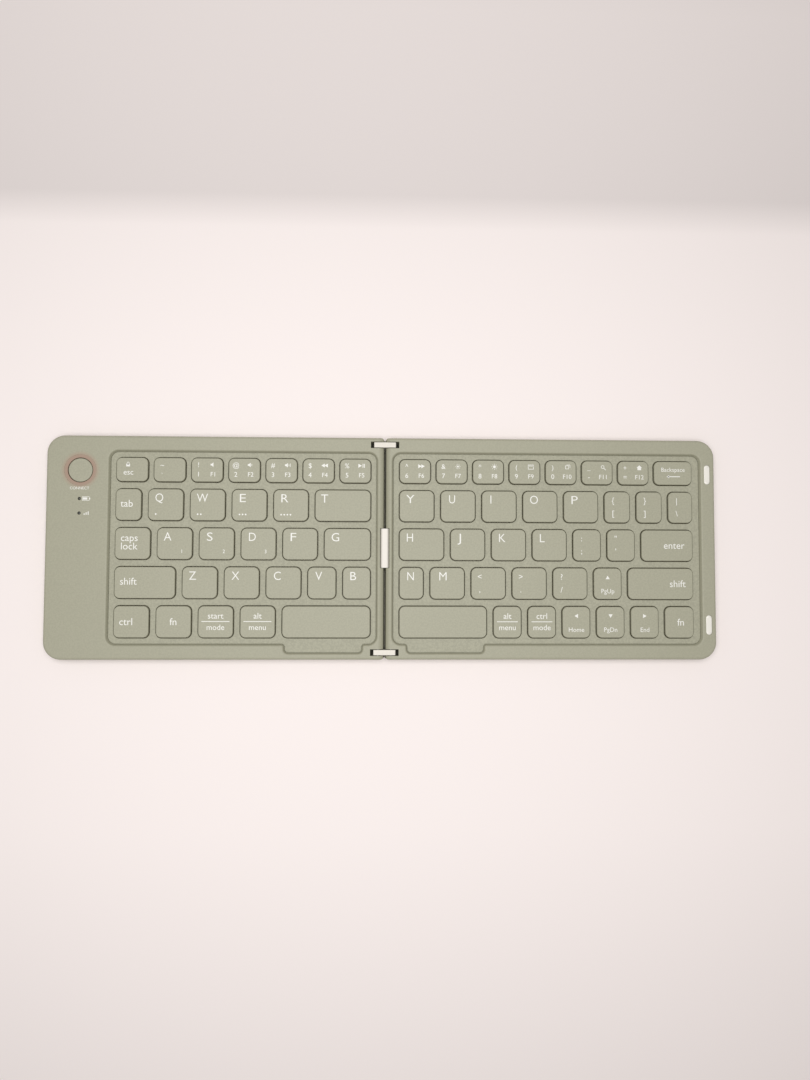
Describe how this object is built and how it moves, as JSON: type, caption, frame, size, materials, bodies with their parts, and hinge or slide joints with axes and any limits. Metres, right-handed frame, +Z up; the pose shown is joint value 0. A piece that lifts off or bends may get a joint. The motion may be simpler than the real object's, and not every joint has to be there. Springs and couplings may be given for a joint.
{
  "type": "folding keyboard",
  "caption": "Slim book-style folding keyboard: two key decks on a two-pivot link hinge, sprung keys, connect button, closing magnets and rubber feet.",
  "frame": {"origin": "hinge centre line, half way between the front and rear edges, at the bottom of the feet", "axes": "+X along the keyboard to the right, +Y to the rear edge, +Z up from the table"},
  "size_m": [0.3064, 0.1014, 0.007],
  "materials": {
    "top_frame": "sage moulded plastic, fine soft sheen",
    "bottom_cover": "sage moulded plastic, fine texture",
    "key_deck": "sage moulded plastic, speckled grain",
    "keycaps": "smooth matte sage plastic",
    "connect_button": "smooth matte sage plastic",
    "key_plate": "stamped plate",
    "membrane": "clear printed film",
    "domes": "translucent silicone",
    "scissor_links": "white acetal",
    "battery": "pouch foil",
    "circuit_board": "solder mask",
    "charging_socket": "drawn steel shell",
    "indicator_lenses": "smoked",
    "button_light_ring": "translucent red",
    "hinge_links": "bright satin",
    "hinge_steel": "turned and stamped steel",
    "magnets": "nickel plated",
    "screws": "zinc plated",
    "feet": "matte",
    "flex_cable": "silver shielding film",
    "legend_ink": "white pad-printed ink on the key tops and the panel"
  },
  "bodies": {
    "left_half": {"left_bottom_cover": "bottom_cover", "left_top_frame": "top_frame", "left_key_deck": "key_deck", "left_key_plate": "key_plate", "left_key_membrane": "membrane", "left_rubber_domes": "domes", "left_scissor_links": "scissor_links", "battery": "battery", "circuit_board": "circuit_board", "charging_socket": "charging_socket", "indicator_lenses": "indicator_lenses", "button_light_ring": "button_light_ring", "left_hinge_brackets": "hinge_steel", "left_magnets": "magnets", "left_case_screws": "screws", "left_feet": "feet"},
    "hinge_links": {"rear_hinge_link": "hinge_links", "front_hinge_link": "hinge_links", "hinge_pins": "hinge_steel", "flex_cable": "flex_cable"},
    "right_half": {"right_bottom_cover": "bottom_cover", "right_top_frame": "top_frame", "right_key_deck": "key_deck", "right_key_plate": "key_plate", "right_key_membrane": "membrane", "right_rubber_domes": "domes", "right_scissor_links": "scissor_links", "right_hinge_brackets": "hinge_steel", "right_magnets": "magnets", "right_case_screws": "screws", "right_feet": "feet"},
    "connect_button": {"connect_button": "connect_button"},
    "left_number_keys": {"left_number_keys": "keycaps"},
    "tab_key": {"tab_key": "keycaps"},
    "left_top_row_keys": {"left_top_row_keys": "keycaps"},
    "caps_lock_key": {"caps_lock_key": "keycaps"},
    "left_home_row_keys": {"left_home_row_keys": "keycaps"},
    "left_shift_key": {"left_shift_key": "keycaps"},
    "left_bottom_row_keys": {"left_bottom_row_keys": "keycaps"},
    "left_ctrl_key": {"left_ctrl_key": "keycaps"},
    "left_fn_key": {"left_fn_key": "keycaps"},
    "start_key": {"start_key": "keycaps"},
    "left_alt_key": {"left_alt_key": "keycaps"},
    "left_space_key": {"left_space_key": "keycaps"},
    "right_number_keys": {"right_number_keys": "keycaps"},
    "backspace_key": {"backspace_key": "keycaps"},
    "right_top_row_keys": {"right_top_row_keys": "keycaps"},
    "right_bracket_keys": {"right_bracket_keys": "keycaps"},
    "right_home_row_keys": {"right_home_row_keys": "keycaps"},
    "enter_key": {"enter_key": "keycaps"},
    "right_bottom_row_keys": {"right_bottom_row_keys": "keycaps"},
    "up_arrow_key": {"up_arrow_key": "keycaps"},
    "right_shift_key": {"right_shift_key": "keycaps"},
    "right_space_key": {"right_space_key": "keycaps"},
    "right_alt_key": {"right_alt_key": "keycaps"},
    "right_ctrl_key": {"right_ctrl_key": "keycaps"},
    "left_arrow_key": {"left_arrow_key": "keycaps"},
    "down_arrow_key": {"down_arrow_key": "keycaps"},
    "right_arrow_key": {"right_arrow_key": "keycaps"},
    "right_fn_key": {"right_fn_key": "keycaps"}
  },
  "joints": [
    {"name": "link_turn", "type": "hinge", "parent": "left_half", "child": "hinge_links", "pos_m": [-0.003, 0, 0.00425], "axis": [0, -1, 0], "range_deg": [0, 90], "deforming": ["flex_cable"]},
    {"name": "fold", "type": "hinge", "parent": "hinge_links", "child": "right_half", "pos_m": [0.003, 0, 0.00425], "axis": [0, -1, 0], "range_deg": [0, 90], "deforming": ["flex_cable"]},
    {"name": "connect_press", "type": "slide", "parent": "left_half", "child": "connect_button", "axis": [0, 0, -1], "range_m": [0, 0.00035], "stiffness_N_per_m": 2000, "springref_m": -0.0002},
    {"name": "left_number_keys_press", "type": "slide", "parent": "left_half", "child": "left_number_keys", "axis": [0, 0, -1], "range_m": [0, 0.0012], "stiffness_N_per_m": 2450, "springref_m": -0.0008, "deforming": ["left_rubber_domes", "left_scissor_links"]},
    {"name": "tab_key_press", "type": "slide", "parent": "left_half", "child": "tab_key", "axis": [0, 0, -1], "range_m": [0, 0.0012], "stiffness_N_per_m": 350, "springref_m": -0.0008, "deforming": ["left_rubber_domes", "left_scissor_links"]},
    {"name": "left_top_row_keys_press", "type": "slide", "parent": "left_half", "child": "left_top_row_keys", "axis": [0, 0, -1], "range_m": [0, 0.0012], "stiffness_N_per_m": 1750, "springref_m": -0.0008, "deforming": ["left_rubber_domes", "left_scissor_links"]},
    {"name": "caps_lock_key_press", "type": "slide", "parent": "left_half", "child": "caps_lock_key", "axis": [0, 0, -1], "range_m": [0, 0.0012], "stiffness_N_per_m": 350, "springref_m": -0.0008, "deforming": ["left_rubber_domes", "left_scissor_links"]},
    {"name": "left_home_row_keys_press", "type": "slide", "parent": "left_half", "child": "left_home_row_keys", "axis": [0, 0, -1], "range_m": [0, 0.0012], "stiffness_N_per_m": 1750, "springref_m": -0.0008, "deforming": ["left_rubber_domes", "left_scissor_links"]},
    {"name": "left_shift_key_press", "type": "slide", "parent": "left_half", "child": "left_shift_key", "axis": [0, 0, -1], "range_m": [0, 0.0012], "stiffness_N_per_m": 350, "springref_m": -0.0008, "deforming": ["left_rubber_domes", "left_scissor_links"]},
    {"name": "left_bottom_row_keys_press", "type": "slide", "parent": "left_half", "child": "left_bottom_row_keys", "axis": [0, 0, -1], "range_m": [0, 0.0012], "stiffness_N_per_m": 1750, "springref_m": -0.0008, "deforming": ["left_rubber_domes", "left_scissor_links"]},
    {"name": "left_ctrl_key_press", "type": "slide", "parent": "left_half", "child": "left_ctrl_key", "axis": [0, 0, -1], "range_m": [0, 0.0012], "stiffness_N_per_m": 350, "springref_m": -0.0008, "deforming": ["left_rubber_domes", "left_scissor_links"]},
    {"name": "left_fn_key_press", "type": "slide", "parent": "left_half", "child": "left_fn_key", "axis": [0, 0, -1], "range_m": [0, 0.0012], "stiffness_N_per_m": 350, "springref_m": -0.0008, "deforming": ["left_rubber_domes", "left_scissor_links"]},
    {"name": "start_key_press", "type": "slide", "parent": "left_half", "child": "start_key", "axis": [0, 0, -1], "range_m": [0, 0.0012], "stiffness_N_per_m": 350, "springref_m": -0.0008, "deforming": ["left_rubber_domes", "left_scissor_links"]},
    {"name": "left_alt_key_press", "type": "slide", "parent": "left_half", "child": "left_alt_key", "axis": [0, 0, -1], "range_m": [0, 0.0012], "stiffness_N_per_m": 350, "springref_m": -0.0008, "deforming": ["left_rubber_domes", "left_scissor_links"]},
    {"name": "left_space_key_press", "type": "slide", "parent": "left_half", "child": "left_space_key", "axis": [0, 0, -1], "range_m": [0, 0.0012], "stiffness_N_per_m": 350, "springref_m": -0.0008, "deforming": ["left_rubber_domes", "left_scissor_links"]},
    {"name": "right_number_keys_press", "type": "slide", "parent": "right_half", "child": "right_number_keys", "axis": [0, 0, -1], "range_m": [0, 0.0012], "stiffness_N_per_m": 2450, "springref_m": -0.0008, "deforming": ["right_rubber_domes", "right_scissor_links"]},
    {"name": "backspace_key_press", "type": "slide", "parent": "right_half", "child": "backspace_key", "axis": [0, 0, -1], "range_m": [0, 0.0012], "stiffness_N_per_m": 350, "springref_m": -0.0008, "deforming": ["right_rubber_domes", "right_scissor_links"]},
    {"name": "right_top_row_keys_press", "type": "slide", "parent": "right_half", "child": "right_top_row_keys", "axis": [0, 0, -1], "range_m": [0, 0.0012], "stiffness_N_per_m": 1750, "springref_m": -0.0008, "deforming": ["right_rubber_domes", "right_scissor_links"]},
    {"name": "right_bracket_keys_press", "type": "slide", "parent": "right_half", "child": "right_bracket_keys", "axis": [0, 0, -1], "range_m": [0, 0.0012], "stiffness_N_per_m": 1050, "springref_m": -0.0008, "deforming": ["right_rubber_domes", "right_scissor_links"]},
    {"name": "right_home_row_keys_press", "type": "slide", "parent": "right_half", "child": "right_home_row_keys", "axis": [0, 0, -1], "range_m": [0, 0.0012], "stiffness_N_per_m": 2100, "springref_m": -0.0008, "deforming": ["right_rubber_domes", "right_scissor_links"]},
    {"name": "enter_key_press", "type": "slide", "parent": "right_half", "child": "enter_key", "axis": [0, 0, -1], "range_m": [0, 0.0012], "stiffness_N_per_m": 350, "springref_m": -0.0008, "deforming": ["right_rubber_domes", "right_scissor_links"]},
    {"name": "right_bottom_row_keys_press", "type": "slide", "parent": "right_half", "child": "right_bottom_row_keys", "axis": [0, 0, -1], "range_m": [0, 0.0012], "stiffness_N_per_m": 1750, "springref_m": -0.0008, "deforming": ["right_rubber_domes", "right_scissor_links"]},
    {"name": "up_arrow_key_press", "type": "slide", "parent": "right_half", "child": "up_arrow_key", "axis": [0, 0, -1], "range_m": [0, 0.0012], "stiffness_N_per_m": 350, "springref_m": -0.0008, "deforming": ["right_rubber_domes", "right_scissor_links"]},
    {"name": "right_shift_key_press", "type": "slide", "parent": "right_half", "child": "right_shift_key", "axis": [0, 0, -1], "range_m": [0, 0.0012], "stiffness_N_per_m": 350, "springref_m": -0.0008, "deforming": ["right_rubber_domes", "right_scissor_links"]},
    {"name": "right_space_key_press", "type": "slide", "parent": "right_half", "child": "right_space_key", "axis": [0, 0, -1], "range_m": [0, 0.0012], "stiffness_N_per_m": 350, "springref_m": -0.0008, "deforming": ["right_rubber_domes", "right_scissor_links"]},
    {"name": "right_alt_key_press", "type": "slide", "parent": "right_half", "child": "right_alt_key", "axis": [0, 0, -1], "range_m": [0, 0.0012], "stiffness_N_per_m": 350, "springref_m": -0.0008, "deforming": ["right_rubber_domes", "right_scissor_links"]},
    {"name": "right_ctrl_key_press", "type": "slide", "parent": "right_half", "child": "right_ctrl_key", "axis": [0, 0, -1], "range_m": [0, 0.0012], "stiffness_N_per_m": 350, "springref_m": -0.0008, "deforming": ["right_rubber_domes", "right_scissor_links"]},
    {"name": "left_arrow_key_press", "type": "slide", "parent": "right_half", "child": "left_arrow_key", "axis": [0, 0, -1], "range_m": [0, 0.0012], "stiffness_N_per_m": 350, "springref_m": -0.0008, "deforming": ["right_rubber_domes", "right_scissor_links"]},
    {"name": "down_arrow_key_press", "type": "slide", "parent": "right_half", "child": "down_arrow_key", "axis": [0, 0, -1], "range_m": [0, 0.0012], "stiffness_N_per_m": 350, "springref_m": -0.0008, "deforming": ["right_rubber_domes", "right_scissor_links"]},
    {"name": "right_arrow_key_press", "type": "slide", "parent": "right_half", "child": "right_arrow_key", "axis": [0, 0, -1], "range_m": [0, 0.0012], "stiffness_N_per_m": 350, "springref_m": -0.0008, "deforming": ["right_rubber_domes", "right_scissor_links"]},
    {"name": "right_fn_key_press", "type": "slide", "parent": "right_half", "child": "right_fn_key", "axis": [0, 0, -1], "range_m": [0, 0.0012], "stiffness_N_per_m": 350, "springref_m": -0.0008, "deforming": ["right_rubber_domes", "right_scissor_links"]}
  ],
  "couplings": [
    {"joint": "link_turn", "follows": "fold", "ratio": 1}
  ]
}
